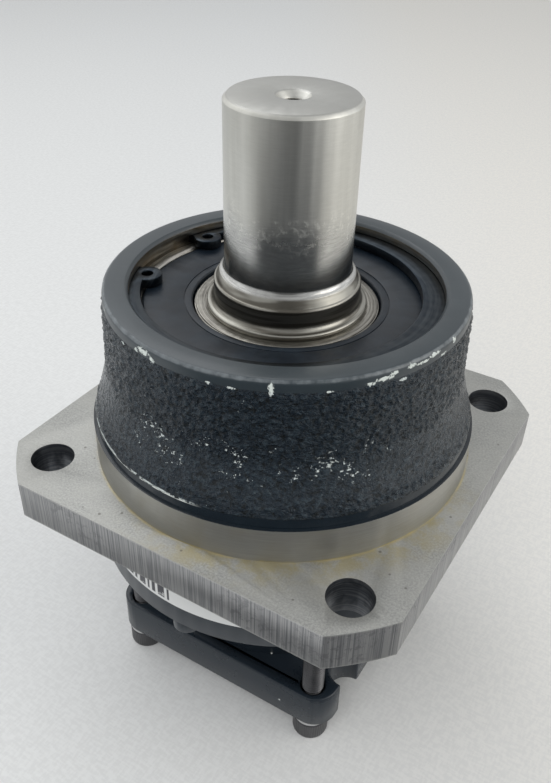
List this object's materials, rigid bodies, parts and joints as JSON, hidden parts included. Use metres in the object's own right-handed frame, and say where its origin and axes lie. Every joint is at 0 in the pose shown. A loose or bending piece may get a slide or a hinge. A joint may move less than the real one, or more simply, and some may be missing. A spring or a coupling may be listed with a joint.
{
  "type": "axial piston pump",
  "caption": "Axial piston pump with a square mounting flange, round pilot, plain drive shaft, front snap-ring seal and a rear port block held by long screws.",
  "frame": {"origin": "centre of the mounting face: the top of the square flange, on the shaft axis", "axes": "+Z along the shaft, out of the front of the pump; X and Y parallel to the flange sides"},
  "size_m": [0.145, 0.145, 0.2161],
  "materials": {
    "housing_iron": "black paint on the cast body, bare machined iron on flange and pilot",
    "case_paint": "smooth satin black paint",
    "port_block_paint": "satin black paint",
    "ground_steel": "ground, lightly worn",
    "hard_steel": "ground bright",
    "turned_steel": "turned",
    "black_spring_steel": "black phosphated",
    "seal_rubber": "moulded",
    "label_film": "matt film, blank",
    "screw_steel": "blackened",
    "zinc_steel": "zinc plated",
    "bearing_brass": "machined",
    "bush_bronze": "bored",
    "soft_washer": "soft annealed",
    "block_bronze": "machined",
    "hardened_steel": "ground",
    "spring_steel": "wound"
  },
  "bodies": {
    "housing": {"front_housing": "housing_iron", "retaining_ring": "black_spring_steel", "seal_carrier": "turned_steel", "carrier_o_ring": "seal_rubber", "shaft_seal": "seal_rubber", "garter_spring": "spring_steel", "bearing_outer_race": "hard_steel", "swash_plate": "hardened_steel", "trunnion_pins": "hardened_steel", "trunnion_bushes": "bush_bronze", "centring_springs": "spring_steel", "centring_plungers": "hardened_steel", "valve_plate": "block_bronze", "valve_plate_pin": "hard_steel", "rear_bearing_shell": "hard_steel", "rear_case": "case_paint", "case_o_ring": "seal_rubber", "port_block": "port_block_paint", "port_plate": "port_block_paint", "port_block_o_ring": "seal_rubber", "drain_plug": "zinc_steel", "drain_plug_washer": "soft_washer", "case_screws": "screw_steel", "tie_screws": "screw_steel", "tie_washers": "zinc_steel", "identity_label": "label_film"},
    "rotating_group": {"drive_shaft": "ground_steel", "wear_sleeve": "hard_steel", "bearing_inner_race": "hard_steel", "bearing_lock_ring": "black_spring_steel", "cylinder_block": "block_bronze", "pistons": "hardened_steel", "slippers": "block_bronze", "slipper_retainer": "hardened_steel", "ball_guide": "hardened_steel", "block_spring": "spring_steel", "spring_washers": "hardened_steel"},
    "front_bearing_cage": {"bearing_balls": "hard_steel", "bearing_cage": "bearing_brass"},
    "rear_bearing_cage": {"rear_bearing_needles": "hard_steel", "rear_bearing_cage": "bearing_brass"}
  },
  "joints": [
    {"name": "shaft_spin", "type": "hinge", "parent": "housing", "child": "rotating_group", "pos_m": [0, 0, 0], "axis": [0, 0, 1], "continuous": true},
    {"name": "front_cage_spin", "type": "hinge", "parent": "housing", "child": "front_bearing_cage", "pos_m": [0, 0, 0.0352], "axis": [0, 0, 1], "continuous": true},
    {"name": "rear_cage_spin", "type": "hinge", "parent": "housing", "child": "rear_bearing_cage", "pos_m": [0, 0, -0.0655], "axis": [0, 0, 1], "continuous": true}
  ],
  "couplings": [
    {"joint": "front_cage_spin", "follows": "shaft_spin", "ratio": 0.4093},
    {"joint": "rear_cage_spin", "follows": "shaft_spin", "ratio": 0.4292}
  ]
}
